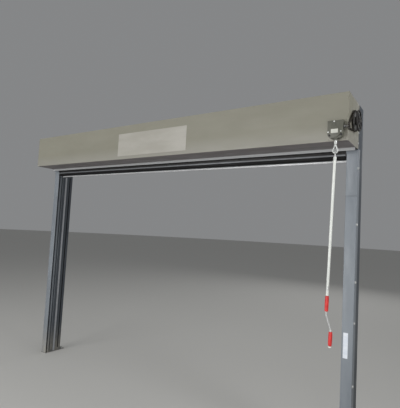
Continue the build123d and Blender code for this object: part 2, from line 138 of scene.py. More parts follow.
def drum(name, radius, low, high, count):
    clearSelection()
    bpy.ops.mesh.primitive_cylinder_add(vertices=count, radius=radius, depth=high - low,
                                        location=(0, 0, (low + high) / 2))
    return settle(named(name))


def pick(piece, kind, elements, test):
    choose(piece)
    bpy.ops.object.mode_set(mode="EDIT")
    bpy.ops.mesh.select_mode(type=kind)
    bpy.ops.mesh.select_all(action="DESELECT")
    shape = bmesh.from_edit_mesh(piece.data)
    for element in getattr(shape, elements):
        element.select_set(bool(test(element)))
    bmesh.update_edit_mesh(piece.data)


def pickFaces(piece, test):
    pick(piece, "FACE", "faces", lambda face: test(face.calc_center_median(), face.normal))


def pickEdges(piece, test):
    pick(piece, "EDGE", "edges", lambda edge: test(edge.verts[0].co, edge.verts[1].co))


def pickPoints(piece, test):
    pick(piece, "VERT", "verts", lambda point: test(point.co))


def push(x, y, z):
    bpy.ops.mesh.extrude_region_move(TRANSFORM_OT_translate={"value": (x, y, z)})


def roundEdges(piece, width, segments, test):
    pickEdges(piece, test)
    bpy.ops.mesh.bevel(offset=width, segments=segments)
    leaveEdit()
    return piece


def openWhole(piece):
    choose(piece)
    bpy.ops.object.mode_set(mode="EDIT")
    takeAll()


def cutAcross(piece, place, way, **choice):
    openWhole(piece)
    bpy.ops.mesh.bisect(plane_co=place, plane_no=way, **choice)
    leaveEdit()


def smooth(piece, angle):
    choose(piece)
    bpy.ops.object.shade_smooth_by_angle(angle=radians(angle))
    return piece


def soften(piece, width, segments=2, angle=35):
    choose(piece)
    edges = piece.modifiers.new("edges", "BEVEL")
    edges.width = width
    edges.segments = segments
    edges.limit_method = "ANGLE"
    edges.angle_limit = radians(angle)
    bpy.ops.object.modifier_apply(modifier="edges")
    return smooth(piece, angle)


def turned(name, profile, steps, closed=False):
    clearSelection()
    bpy.ops.mesh.primitive_plane_add()
    piece = named(name)
    points = [Vector((radius, 0, height)) for radius, height in profile]
    bpy.ops.object.mode_set(mode="EDIT")
    bpy.ops.mesh.select_mode(type="VERT")
    takeAll()
    bpy.ops.mesh.merge(type="CENTER")
    bpy.ops.transform.translate(value=points[0])
    for here, after in zip(points, points[1:] + points[:1] * closed):
        push(*(after - here))
    takeAll()
    bpy.ops.mesh.spin(steps=steps, angle=2 * pi, center=(0, 0, 0), axis=(0, 0, 1))
    takeAll()
    bpy.ops.mesh.remove_doubles(threshold=0.000002)
    bpy.ops.mesh.normals_make_consistent(inside=False)
    leaveEdit()
    return piece


def joined(name, *pieces):
    choose(*pieces)
    bpy.ops.object.join()
    pieces[0].name = name
    return settle(pieces[0])


def facing(way, spots):
    return [(spot, towards[way]) for spot in spots]


def turnTo(along, outwards):
    return Matrix((along, outwards.cross(along), outwards)).transposed().to_4x4()


def spread(pattern, name, places):
    copies = []
    for spot, turn in places:
        twin = pattern.copy()
        twin.data = pattern.data.copy()
        bpy.context.collection.objects.link(twin)
        twin.matrix_world = Matrix.Translation(spot) @ turn
        copies.append(twin)
    return joined(name, *copies)


def solidCopy(node, name):
    piece = bpy.data.objects.new(name, nodes[node].data.copy())
    bpy.context.collection.objects.link(piece)
    choose(piece)
    bpy.ops.mesh.customdata_custom_splitnormals_clear()
    openWhole(piece)
    bpy.ops.mesh.remove_doubles(threshold=0.00001)
    bpy.ops.mesh.dissolve_limited(angle_limit=radians(0.5))
    leaveEdit()
    return piece


def fit(piece, slot, *replaced, body="frame"):
    piece.data.materials.clear()
    piece.data.materials.append(finishes[slot])
    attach(piece, body)
    if replaced:
        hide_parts(*replaced)
    return piece


def wear(piece, material):
    piece.data.materials[0] = material


def dressedCopy(node, name, slot, width, segments=2, angle=35):
    fit(soften(solidCopy(node, name), width, segments, angle), slot, node)


def fasten(pattern, name, places, slot="zinc_steel"):
    fit(spread(pattern, name, places), slot)


# Shader groups that the finishes share

def tint(colour):
    return tuple(((c / 255 + 0.055) / 1.055) ** 2.4 for c in colour) + (1,)


def addNode(tree, kind, inputs=None, **settings):
    made = tree.nodes.new("ShaderNode" + kind)
    for key, value in settings.items():
        setattr(made, key, value)
    for key, value in (inputs or {}).items():
        if isinstance(value, bpy.types.NodeSocket):
            tree.links.new(value, made.inputs[key])
        else:
            made.inputs[key].default_value = value
    return made.outputs


def addSocket(group, label, side, kind):
    return group.interface.new_socket(label, in_out=side, socket_type="NodeSocket" + kind)


def startGroup(name, inputs):
    group = bpy.data.node_groups.new(name, "ShaderNodeTree")
    for label, value in {"Vector": (0, 0, 0), **inputs}.items():
        if value == "colour":
            addSocket(group, label, "INPUT", "Color")
        else:
            kind = "Vector" if isinstance(value, tuple) else "Float"
            addSocket(group, label, "INPUT", kind).default_value = value
    return group, group.nodes.new("NodeGroupInput").outputs


def closeGroup(group, **results):
    for label in results:
        addSocket(group, label, "OUTPUT", "Color" if label == "Color" else "Float")
    ends = group.nodes.new("NodeGroupOutput").inputs
    for label, value in results.items():
        group.links.new(value, ends[label])
    return group


def mathNode(tree, operation, first, second=0.0):
    return addNode(tree, "Math", {0: first, 1: second}, operation=operation)[0]


def mixColour(tree, factor, first, second):
    return addNode(tree, "Mix", {0: factor, 6: first, 7: second}, data_type="RGBA")[2]


def rangeNode(tree, value, low, high, start=0.0, end=1.0):
    return addNode(tree, "MapRange", {"Value": value, "From Min": low, "From Max": high,
                                      "To Min": start, "To Max": end}, interpolation_type="SMOOTHSTEP")[0]


def noiseNode(tree, place, scale, detail, roughness=0.5):
    return addNode(tree, "TexNoise", {"Vector": place, "Scale": scale, "Detail": detail,
                                      "Roughness": roughness})[0]


def stretched(tree, given):
    return addNode(tree, "Mapping", {"Vector": given["Vector"], "Scale": given["Stretch"]})[0]


def buildCloudyTone():
    group, given = startGroup("cloudyTone", {"Scale": 3.0, "Stretch": (1, 1, 1), "Dark": "colour",
                                             "Light": "colour"})
    noise = noiseNode(group, stretched(group, given), given["Scale"], 5.0, 0.62)
    mask = rangeNode(group, noise, 0.34, 0.66)
    return closeGroup(group, Color=mixColour(group, mask, given["Dark"], given["Light"]), Mask=mask)


def buildSettledDust():
    group, given = startGroup("settledDust", {"Color": "colour", "Dust": "colour", "Height": 0.5,
                                              "Amount": 0.5, "On Top": 0.4})
    height = addNode(group, "SeparateXYZ", {0: given["Vector"]})["Z"]
    level = addNode(group, "SeparateXYZ", {0: addNode(group, "TexCoord")["Normal"]})["Z"]
    noise = noiseNode(group, given["Vector"], 14.0, 6.0, 0.7)
    low = rangeNode(group, mathNode(group, "DIVIDE", height, given["Height"]), 1.0, 0.0)
    upper = mathNode(group, "MULTIPLY", rangeNode(group, level, 0.55, 0.95), given["On Top"])
    both = mathNode(group, "MAXIMUM", mathNode(group, "MULTIPLY", low, given["Amount"]), upper)
    mask = mathNode(group, "MULTIPLY", both, rangeNode(group, noise, 0.3, 0.7, 0.35, 1.0))
    return closeGroup(group, Color=mixColour(group, mask, given["Color"], given["Dust"]), Mask=mask)


def buildSkinHeight():
    group, given = startGroup("skinHeight", {"Grain Scale": 700.0, "Grain Depth": 0.00002,
                                             "Wave Scale": 2.0, "Wave Depth": 0.0})
    grain = noiseNode(group, given["Vector"], given["Grain Scale"], 2.0)
    wave = noiseNode(group, given["Vector"], given["Wave Scale"], 1.0)
    return closeGroup(group, Height=mathNode(group, "ADD",
                                             mathNode(group, "MULTIPLY", grain, given["Grain Depth"]),
                                             mathNode(group, "MULTIPLY", wave, given["Wave Depth"])))


def buildDrawnLines():
    group, given = startGroup("drawnLines", {"Stretch": (1, 1, 1), "Dark": "colour", "Light": "colour",
                                             "Depth": 0.00001})
    mask = rangeNode(group, noiseNode(group, stretched(group, given), 1.0, 4.0, 0.6), 0.3, 0.7)
    return closeGroup(group, Color=mixColour(group, mask, given["Dark"], given["Light"]), Mask=mask,
                      Height=mathNode(group, "MULTIPLY", mask, given["Depth"]))


def buildSpangle():
    group, given = startGroup("zincSpangle", {"Scale": 60.0, "Dark": "colour", "Light": "colour"})
    cells = addNode(group, "TexVoronoi", {"Vector": given["Vector"], "Scale": given["Scale"]})
    shade = addNode(group, "SeparateColor", {0: cells["Color"]})[0]
    return closeGroup(group, Color=mixColour(group, shade, given["Dark"], given["Light"]), Mask=shade)


groups = {
    "tone": buildCloudyTone(),
    "dust": buildSettledDust(),
    "skin": buildSkinHeight(),
    "lines": buildDrawnLines(),
    "spangle": buildSpangle(),
}
print("shader groups ready")


# Finishes, one for each slot of the record

dustColour = tint((172, 165, 150))
plainLook = {"stretch": (1, 1, 1), "rubStretch": (1, 1, 1), "dustHeight": 0.3, "dustAmount": 0.3,
             "wave": 2.0, "waveDepth": 0.0, "coat": 0.0, "coatRough": 0.3}


def useGroup(tree, key, **inputs):
    labelled = {label.replace("_", " "): value for label, value in inputs.items()}
    return addNode(tree, "Group", labelled, node_tree=groups[key])


def darkAndLight(tree, key, point, look, **more):
    return useGroup(tree, key, Vector=point, Dark=tint(look["dark"]), Light=tint(look["light"]), **more)


def startFinish(name, **shader):
    material = bpy.data.materials.new(name)
    material.use_nodes = True
    tree = material.node_tree
    surface = tree.nodes["Principled BSDF"]
    for label, value in shader.items():
        surface.inputs[label.replace("_", " ")].default_value = value
    return material, tree, surface, addNode(tree, "TexCoord")["Object"]


def dressSurface(tree, surface, colour, mask, rough, height):
    found = {"Base Color": colour, "Roughness": rangeNode(tree, mask, 0.0, 1.0, *rough),
             "Normal": addNode(tree, "Bump", {"Height": height, "Distance": 1.0})[0]}
    for label, value in found.items():
        tree.links.new(value, surface.inputs[label])


def skinOf(tree, point, look):
    return useGroup(tree, "skin", Vector=point, Grain_Scale=look["grain"], Grain_Depth=look["grainDepth"],
                    Wave_Scale=look["wave"], Wave_Depth=look["waveDepth"])["Height"]


def dressDusty(tree, surface, point, look, colour, mask):
    dust = useGroup(tree, "dust", Vector=point, Color=colour, Dust=dustColour, Height=look["dustHeight"],
                    Amount=look["dustAmount"], On_Top=look["dustOnTop"])
    dressSurface(tree, surface, dust["Color"], mathNode(tree, "MAXIMUM", mask, dust["Mask"]),
                 look["rough"], skinOf(tree, point, look))


def paintedSteel(name, look):
    look = {**plainLook, **look}
    material, tree, surface, point = startFinish(name, Specular_IOR_Level=look["gloss"])
    wide = darkAndLight(tree, "tone", point, look, Scale=look["cloud"], Stretch=look["stretch"])["Color"]
    rub = useGroup(tree, "tone", Vector=point, Scale=look["rubScale"], Dark=wide,
                   Light=tint(look["rub"]), Stretch=look["rubStretch"])
    colour = mixColour(tree, look["rubAmount"], wide, rub["Color"])
    # Painted light and shade by height: each band mixes in a colour that stands for light falling on the
    # paint or for shade under it
    if "lowLight" in look:
        height = addNode(tree, "SeparateXYZ", {0: point})["Z"]
        for part in ("low", "under", "lip"):
            full, none = look[part + "Light"]
            colour = mixColour(tree, rangeNode(tree, height, none, full), colour,
                               tint(look[part + "Colour"]))
    dressDusty(tree, surface, point, look, colour, rub["Mask"])
    return material


def galvanisedSteel(name, look):
    look = {**plainLook, **look}
    material, tree, surface, point = startFinish(name, Metallic=look["metallic"])
    spangle = darkAndLight(tree, "spangle", point, look, Scale=look["spangle"])
    dressDusty(tree, surface, point, look, spangle["Color"], spangle["Mask"])
    return material


def drawnMetal(name, look):
    material, tree, surface, point = startFinish(name, Metallic=look["metallic"])
    lines = darkAndLight(tree, "lines", point, look, Stretch=look["stretch"], Depth=look["depth"])
    cloud = useGroup(tree, "tone", Vector=point, Scale=look["cloud"], Dark=tint(look["stain"]),
                     Light=lines["Color"])
    colour = mixColour(tree, look["stainAmount"], lines["Color"], cloud["Color"])
    dressSurface(tree, surface, colour, cloud["Mask"], look["rough"][::-1], lines["Height"])
    return material


def softStuff(name, look):
    look = {**plainLook, **look}
    material, tree, surface, point = startFinish(name, Specular_IOR_Level=look["gloss"],
                                                 Coat_Weight=look["coat"], Coat_Roughness=look["coatRough"])
    tone = darkAndLight(tree, "tone", point, look, Scale=look["cloud"], Stretch=look["stretch"])
    dressSurface(tree, surface, tone["Color"], tone["Mask"], look["rough"], skinOf(tree, point, look))
    return material


# Guide paint: its cooler blue-grey next to the hood's warm grey is partly a painted reflection of sky light
# on the guides
guidePaintAndSkyTint = {
    "dark": (119, 125, 132), "light": (133, 140, 147), "cloud": 1.6, "stretch": (1, 1, 0.5),
    "rub": (146, 150, 153), "rubScale": 12.0, "rubStretch": (2.4, 2.4, 0.3), "rubAmount": 0.15,
    "gloss": 0.45, "dustHeight": 0.42, "dustAmount": 0.7, "dustOnTop": 0.5, "rough": (0.38, 0.62),
    "grain": 520.0, "grainDepth": 0.00004, "wave": 2.2, "waveDepth": 0.0012}
finishes = {
    # Painted light and shade on the hood: low is a painted lighter band low on the front, under is painted
    # shade on the underside, lip is painted light on the lip; at a band's first height the paint has all of
    # that band's colour, at its second none
    "hood_paint": paintedSteel("hoodPaint", {
        "dark": (130, 128, 115), "light": (138, 136, 123), "cloud": 1.1, "stretch": (0.6, 1, 1.6),
        "rub": (145, 143, 132), "rubScale": 9.0, "rubStretch": (0.35, 1, 2.2), "rubAmount": 0.12,
        "lowLight": (2.47, 2.62), "lowColour": (144, 142, 133),
        "underLight": (2.4692, 2.4705), "underColour": (119, 114, 115),
        "lipLight": (2.466, 2.4685), "lipColour": (170, 172, 173), "gloss": 0.4,
        "dustAmount": 0.2, "dustOnTop": 0.55, "rough": (0.42, 0.6),
        "grain": 520.0, "grainDepth": 0.00004, "wave": 1.7, "waveDepth": 0.004}),
    "guide_paint": paintedSteel("guidePaintAndSkyTint", guidePaintAndSkyTint),
    "foot_steel": galvanisedSteel("footSteel", {
        "dark": (92, 96, 102), "light": (118, 122, 126), "spangle": 85.0, "metallic": 0.35,
        "dustHeight": 0.03, "dustAmount": 0.5, "dustOnTop": 0.6, "rough": (0.5, 0.75),
        "grain": 400.0, "grainDepth": 0.00006}),
    "bracket_paint": paintedSteel("bracketPaint", {
        "dark": (62, 64, 66), "light": (78, 80, 82), "cloud": 6.0, "rub": (104, 104, 102),
        "rubScale": 40.0, "rubAmount": 0.3, "gloss": 0.35, "dustOnTop": 0.6, "rough": (0.5, 0.7),
        "grain": 380.0, "grainDepth": 0.00006, "wave": 8.0, "waveDepth": 0.0003}),
    "galvanised": galvanisedSteel("galvanisedSlats", {
        "dark": (122, 126, 130), "light": (146, 150, 153), "spangle": 70.0, "metallic": 0.5,
        "dustOnTop": 0.35, "rough": (0.36, 0.55), "grain": 260.0, "grainDepth": 0.00003}),
    "machined_steel": drawnMetal("machinedSteel", {
        "dark": (84, 84, 82), "light": (120, 120, 118), "stretch": (900, 60, 60), "depth": 0.00002,
        "stain": (66, 60, 54), "stainAmount": 0.35, "cloud": 40.0, "metallic": 0.6,
        "rough": (0.3, 0.55)}),
    "chain_steel": drawnMetal("chainSteel", {
        "dark": (44, 40, 36), "light": (78, 72, 64), "stretch": (300, 300, 300), "depth": 0.00003,
        "stain": (26, 22, 18), "stainAmount": 0.5, "cloud": 60.0, "metallic": 0.7,
        "rough": (0.34, 0.6)}),
    "dark_cast": paintedSteel("darkCast", {
        "dark": (30, 29, 30), "light": (44, 43, 43), "cloud": 20.0, "rub": (70, 68, 66),
        "rubScale": 60.0, "rubAmount": 0.3, "gloss": 0.4, "dustOnTop": 0.35, "rough": (0.45, 0.65),
        "grain": 260.0, "grainDepth": 0.0002, "wave": 30.0, "waveDepth": 0.0003}),
    "cast_housing": paintedSteel("castHousing", {
        "dark": (66, 70, 72), "light": (88, 92, 94), "cloud": 14.0, "rub": (110, 110, 108),
        "rubScale": 50.0, "rubAmount": 0.25, "gloss": 0.4, "dustOnTop": 0.4, "rough": (0.5, 0.7),
        "grain": 240.0, "grainDepth": 0.0002, "wave": 30.0, "waveDepth": 0.0003}),
    "mill_aluminium": drawnMetal("millAluminium", {
        "dark": (206, 208, 210), "light": (232, 233, 234), "stretch": (3, 900, 900), "depth": 0.00001,
        "stain": (182, 182, 180), "stainAmount": 0.25, "cloud": 7.0, "metallic": 0.3,
        "rough": (0.3, 0.45)}),
    "black_bristle": softStuff("blackBristle", {
        "dark": (16, 16, 18), "light": (34, 34, 37), "cloud": 30.0, "gloss": 0.3, "rough": (0.6, 0.8),
        "grain": 900.0, "grainDepth": 0.00005}),
    # Black rubber, made darker still: partly the rubber's own black and partly painted shade where the seal
    # sits under the hood
    "black_rubber": softStuff("blackRubber", {
        "dark": (14, 14, 15), "light": (24, 24, 25), "cloud": 9.0, "stretch": (0.3, 1, 1),
        "gloss": 0.2, "rough": (0.55, 0.8), "grain": 600.0, "grainDepth": 0.00005}),
    "gearbox_paint": paintedSteel("gearboxPaint", {
        "dark": (85, 85, 76), "light": (93, 93, 83), "cloud": 14.0, "rub": (110, 110, 98),
        "rubScale": 90.0, "rubAmount": 0.12, "gloss": 0.45, "dustOnTop": 0.5, "rough": (0.4, 0.55),
        "grain": 330.0, "grainDepth": 0.00006, "wave": 30.0, "waveDepth": 0.00006}),
    "zinc_steel": drawnMetal("zincSteel", {
        "dark": (188, 190, 188), "light": (220, 222, 220), "stretch": (160, 160, 160), "depth": 0.00001,
        "stain": (150, 150, 146), "stainAmount": 0.3, "cloud": 55.0, "metallic": 0.45,
        "rough": (0.28, 0.45)}),
    "crank_pole": paintedSteel("poleCoat", {
        "dark": (222, 225, 220), "light": (234, 236, 231), "cloud": 12.0, "stretch": (1, 1, 0.4),
        "rub": (196, 198, 192), "rubScale": 30.0, "rubStretch": (1, 1, 0.25), "rubAmount": 0.35,
        "gloss": 0.5, "dustAmount": 0.2, "dustOnTop": 0.3, "rough": (0.28, 0.45),
        "grain": 500.0, "grainDepth": 0.00003, "wave": 20.0, "waveDepth": 0.0001}),
    "red_grip": softStuff("redGrip", {
        "dark": (196, 42, 42), "light": (222, 62, 58), "cloud": 34.0, "stretch": (1, 1, 0.5),
        "gloss": 0.5, "rough": (0.32, 0.46), "grain": 700.0, "grainDepth": 0.00004}),
    "pale_cap": softStuff("paleCap", {
        "dark": (214, 214, 206), "light": (230, 230, 224), "cloud": 60.0, "gloss": 0.4,
        "rough": (0.45, 0.6), "grain": 500.0, "grainDepth": 0.00003}),
}
for cadNode in nodes.values():
    for materialSlot in cadNode.material_slots:
        materialSlot.material = finishes[materialSlot.material.name]
# Posts: a darker copy of the guide paint, partly a darker jamb finish and partly painted shade on the posts'
# faces
jambPaintAndShade = paintedSteel("jambPaintAndShade", {
    **guidePaintAndSkyTint, "dark": (66, 72, 79), "light": (80, 86, 93), "rub": (104, 108, 112),
    "rubAmount": 0.12, "dustAmount": 0.5})
# Bottom bar foot: a darker copy of the mill aluminium, painted shade for the foot under the hood
shadedFootAluminium = drawnMetal("shadedFootAluminium", {
    "dark": (112, 115, 119), "light": (136, 139, 143), "stretch": (3, 900, 900), "depth": 0.00001,
    "stain": (96, 96, 96), "stainAmount": 0.3, "cloud": 7.0, "metallic": 0.2, "rough": (0.42, 0.6)})
# Jamb strip: a lighter strip on the post's inner face, partly a metal strip and partly a painted highlight
# along it
jambStripAndHighlight = drawnMetal("jambStripAndHighlight", {
    "dark": (166, 169, 174), "light": (190, 193, 198), "stretch": (900, 900, 3), "depth": 0.00001,
    "stain": (128, 130, 132), "stainAmount": 0.3, "cloud": 7.0, "metallic": 0.1, "rough": (0.42, 0.6)})
blankAluminium = drawnMetal("blankAluminium", {
    "dark": (192, 192, 183), "light": (208, 208, 199), "stretch": (3, 900, 900), "depth": 0.00001,
    "stain": (176, 176, 168), "stainAmount": 0.25, "cloud": 30.0, "metallic": 0.1, "rough": (0.4, 0.55)})
print("finishes ready,", len(finishes))


# Fasteners, each modelled once with its seat at the origin and its head upwards

headShares = {"hexChamfer": 0.09, "washerChamfer": 0.35, "dome": 0.6, "flat": 0.99, "recess": 0.2,
              "recessDepth": 0.45}


def roundTop(piece, top, width, segments):
    roundEdges(piece, width, segments, lambda a, b: min(a.z, b.z) > top - touch)


def hexHead(name, look):
    top = look["washer"] + look["height"]
    head = drum(name, look["across"] / sqrt(3), look["washer"], top, 6)
    roundTop(head, top, look["across"] * headShares["hexChamfer"], 1)
    washer = drum(name + "Washer", look["washerRadius"], 0, look["washer"], 20)
    roundTop(washer, look["washer"], look["washer"] * headShares["washerChamfer"], 1)
    return smooth(joined(name, head, washer), 25)


def panHead(name, look):
    head = drum(name, look["radius"], 0, look["height"], 18)
    roundTop(head, look["height"], look["height"] * headShares["dome"], 3)
    pickFaces(head, lambda c, n: n.z > headShares["flat"])
    bpy.ops.mesh.inset(thickness=look["radius"] * headShares["recess"])
    push(0, 0, -look["height"] * headShares["recessDepth"])
    return smooth(head, 30)


def rivetHead(name, look):
    clearSelection()
    bpy.ops.mesh.primitive_uv_sphere_add(segments=12, ring_count=8, radius=look["radius"])
    head = named(name)
    head.scale.z = look["height"] / look["radius"]
    cutAcross(settle(head), (0, 0, 0), (0, 0, 1), clear_inner=True, use_fill=True)
    return smooth(head, 50)


guideBolt = hexHead("guideBolt", {"across": 0.017, "height": 0.0065, "washer": 0.0018,
                                  "washerRadius": 0.0125})
smallBolt = hexHead("smallBolt", {"across": 0.013, "height": 0.0053, "washer": 0.0014,
                                  "washerRadius": 0.0085})
housingScrew = hexHead("housingScrew", {"across": 0.009, "height": 0.004, "washer": 0.001,
                                        "washerRadius": 0.0062})
sheetScrew = panHead("sheetScrew", {"radius": 0.0055, "height": 0.0034})
smallScrew = panHead("smallScrew", {"radius": 0.0038, "height": 0.0024})
tinyRivet = rivetHead("tinyRivet", {"radius": 0.0019, "height": 0.0011})
print("fasteners modelled")


# Guides, posts and feet

guideLook = {
    "frontEdge": 0.0046,           # rounded upright edges of the front covers
    "longEdge": 0.1, "coverEdge": 0.0012, "steelEdge": 0.001,
    "boltHeights": (0.166, 0.629, 1.102, 1.414, 1.862, 2.309),
    "coverBack": 0.015,            # bolt's place behind the cover's front face
}


def buildGuide(side, out):
    look = guideLook
    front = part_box(f"{side}_guide_cover")[0].y
    for node in (f"{side}_guide_cover", f"{side}_guide_top_cover"):
        cover = roundEdges(solidCopy(node, node + "_bent"), look["frontEdge"], 4,
                           lambda a, b: abs(a.z - b.z) > look["longEdge"] and abs(a.y - front) < touch)
        fit(soften(cover, look["coverEdge"], 2, 30), "guide_paint", node)
    for node in (f"{side}_guide_wall_angle", f"{side}_guide_rear_channel"):
        dressedCopy(node, node + "_rolled", "guide_paint", look["steelEdge"])
    x = faceX(f"{side}_guide_wall_angle", out)
    fasten(guideBolt, f"{side}_guide_bolts",
           facing(side, [(x, front + look["coverBack"], z) for z in look["boltHeights"]]))


postLook = {
    "corner": 0.008, "edge": 0.0005, "headBolts": (0.06, 0.21),     # below the post's top
    "groove": (0.1, 0.115), "grooveDepth": 0.0035, "fill": 0.0015, "foot": 0.04,
    "strip": (0.036, 0.06), "stripThickness": 0.002, "stripEdge": 0.0006,
}


def grooveJamb(post, inner, out, top):
    near, far = postLook["groove"]
    foot = postLook["foot"]
    for y in (near, far):
        cutAcross(post, (0, y, 0), (0, 1, 0))
    for z in (foot, top):
        cutAcross(post, (0, 0, z), (0, 0, 1))
    pickFaces(post, lambda c, n: abs(c.x - inner) < touch and foot < c.z < top and near < c.y < far)
    push(out * postLook["grooveDepth"], 0, 0)
    leaveEdit()


def jambBar(name, x, thickness, reach, bottom, top):
    left, right = sorted((x, x + thickness))
    strip = bar(name, (left, reach[0], bottom), (right, reach[1], top))
    return soften(strip, postLook["stripEdge"])


def buildPost(side, out):
    look = postLook
    post = solidCopy(f"{side}_post", f"{side}_post_tube")
    low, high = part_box(f"{side}_post")
    inner = faceX(f"{side}_post", -out)
    top = lintelLow.z
    grooveJamb(post, inner, out, top)
    strip = jambBar(f"{side}_jamb_strip", inner, -out * look["stripThickness"], look["strip"], low.z, top)
    wear(fit(strip, "mill_aluminium"), jambStripAndHighlight)
    fit(jambBar(f"{side}_jamb_joint", inner + out * look["grooveDepth"], -out * look["fill"],
                look["groove"], look["foot"], top), "black_rubber")

    def isCorner(a, b):
        onCorner = all(min(abs(a[k] - low[k]), abs(a[k] - high[k])) < touch for k in (0, 1))
        return onCorner and (a.xy - b.xy).length < touch

    roundEdges(post, look["corner"], 5, isCorner)
    wear(fit(soften(post, look["edge"], 1), "guide_paint", f"{side}_post"), jambPaintAndShade)
    x = (low.x + high.x) / 2
    fasten(guideBolt, f"{side}_post_head_bolts",
           facing("back", [(x, high.y, high.z - drop) for drop in look["headBolts"]]))


footLook = {
    "edge": 0.0012, "nut": {"across": 0.019, "height": 0.011, "washer": 0.0025, "washerRadius": 0.013},
    "stud": 0.006, "studTop": 0.03, "threadPitch": 0.0022, "threadDepth": 0.0006,
    "spacing": 0.05, "beadRadius": 0.0045, "beadPitch": 0.004, "beadWaist": 0.78,
}


def anchorBolt():
    look = footLook
    nut = hexHead("anchorNut", look["nut"])
    profile = [(0, 0)]
    for k in range(int(look["studTop"] / look["threadPitch"])):
        z = k * look["threadPitch"]
        profile += [(look["stud"], z), (look["stud"] - look["threadDepth"], z + look["threadPitch"] / 2)]
    profile += [(look["stud"], look["studTop"]), (0, look["studTop"] + look["threadDepth"])]
    return joined("anchorBolt", nut, turned("anchorStud", profile, 16))


def weldBead(name, start, end):
    look = footLook
    run = Vector(end) - Vector(start)
    rings = max(2, int(run.length / look["beadPitch"]))
    step = run.length / (rings + 1)
    bead = drum(name, look["beadRadius"], 0, run.length, 8)
    pickEdges(bead, lambda a, b: abs(a.z - b.z) > run.length / 2)
    bpy.ops.mesh.subdivide(number_cuts=rings)
    pickPoints(bead, lambda p: round(p.z / step) % 2 == 1)
    bpy.ops.transform.resize(value=(look["beadWaist"], look["beadWaist"], 1), center_override=(0, 0, 0))
    leaveEdit()
    return smooth(moveTo(bead, start, run.to_track_quat("Z", "Y").to_matrix().to_4x4()), 60)


def buildFoot(side):
    node = f"{side}_foot_plate"
    dressedCopy(node, node + "_cut", "foot_steel", footLook["edge"])
    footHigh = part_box(node)[1]
    low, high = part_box(f"{side}_post")
    middle, y = (low.x + high.x) / 2, (high.y + footHigh.y) / 2
    anchor = anchorBolt()
    fasten(anchor, f"{side}_anchor_bolts",
           facing("up", [(middle + way * footLook["spacing"] / 2, y, footHigh.z) for way in (-1, 1)]))
    removeShape(anchor)
    beads = [weldBead(f"{side}_bead_back", (low.x, high.y, low.z), (high.x, high.y, low.z))]
    for k, x in enumerate((low.x, high.x)):
        beads.append(weldBead(f"{side}_bead_{k}", (x, low.y, low.z), (x, high.y, low.z)))
    fit(joined(f"{side}_foot_welds", *beads), "foot_steel")


for side, out in sides.items():
    buildGuide(side, out)
    buildPost(side, out)
    buildFoot(side)
print("guides, posts and feet modelled")


# Brushes in the guides, and the plate and seal channel at the lintel

brushLook = {"tuft": 0.03, "bristleRadius": 0.0007, "bristles": 54, "lean": 0.05, "share": 0.7,
             "edge": 0.0006}


def bristleStrip(name, start, run, reach, thickness):
    look = brushLook
    clearSelection()
    bpy.ops.mesh.primitive_cone_add(vertices=3, radius1=look["bristleRadius"], radius2=0, depth=reach,
                                    location=(0, 0, reach / 2))
    bristle = settle(bpy.context.object)
    dice = random.Random(len(name))
    places = []
    for _ in range(look["bristles"]):
        spot = (dice.uniform(0, look["tuft"]), dice.uniform(-0.5, 0.5) * thickness, 0)
        lean = [dice.uniform(-1, 1) * look["lean"] for _ in range(2)]
        places.append((spot, Matrix.Rotation(lean[0], 4, "X") @ Matrix.Rotation(lean[1], 4, "Y")))
    strip = spread(bristle, name, places)
    removeShape(bristle)
    choose(strip)
    row = strip.modifiers.new("row", "ARRAY")
    row.count = int(run / look["tuft"])
    row.use_relative_offset = False
    row.use_constant_offset = True
    row.constant_offset_displace = (run / row.count, 0, 0)
    bpy.ops.object.modifier_apply(modifier="row")
    return moveTo(strip, start, turnTo(Vector((0, 0, 1)), Vector((0, 1, 0))))


for side in sides:
    low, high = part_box(f"{side}_guide_brush")
    thickness = high.x - low.x
    holder = bar(f"{side}_brush_back", (low.x, low.y, low.z), (high.x, low.y + thickness / 2, high.z))
    bristles = bristleStrip(f"{side}_brush_bristles", ((low.x + high.x) / 2, low.y, low.z),
                            high.z - low.z, high.y - low.y, thickness * brushLook["share"])
    fit(joined(f"{side}_guide_brush_tufts", soften(holder, brushLook["edge"]), bristles),
        "black_bristle", f"{side}_guide_brush")


def evenly(low, high, inset, pitch):
    run = high - low - 2 * inset
    count = round(run / pitch)
    return [low + inset + run * k / count for k in range(count + 1)]


lintelLook = {"wall": 0.004, "groove": 0.0012, "edge": 0.0012, "plateEdge": 0.001, "screwInset": 0.12,
              "screwPitch": 0.44, "screwDrop": 0.035}
retainer = bar("lintel_seal_channel", *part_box("lintel_seal_retainer"))
pickFaces(retainer, lambda c, n: n.y < -square)
bpy.ops.mesh.inset(thickness=lintelLook["wall"])
push(0, lintelLook["groove"], 0)
fit(soften(retainer, lintelLook["edge"]), "mill_aluminium", "lintel_seal_retainer")
dressedCopy("lintel_plate", "lintel_plate_flat", "guide_paint", lintelLook["plateEdge"])
screwRow = evenly(lintelLow.x, lintelHigh.x, lintelLook["screwInset"], lintelLook["screwPitch"])
fasten(sheetScrew, "lintel_screws",
       facing("front", [(x, lintelLow.y, lintelHigh.z - lintelLook["screwDrop"]) for x in screwRow]))
print("brushes and lintel modelled")


# Bottom bar and its rubber

barLook = {"foot": 0.004, "upturn": 0.008, "webHalf": 0.004, "edge": 0.0009, "boltPitch": 0.3,
           "boltInset": 0.11, "boltRaise": 0.03, "sealRound": 0.019, "sealWall": 0.0045,
           "sealHollow": 0.06}
barPlane = middleOf("bottom_bar").y
webFront, webBack = barPlane - barLook["webHalf"], barPlane + barLook["webHalf"]


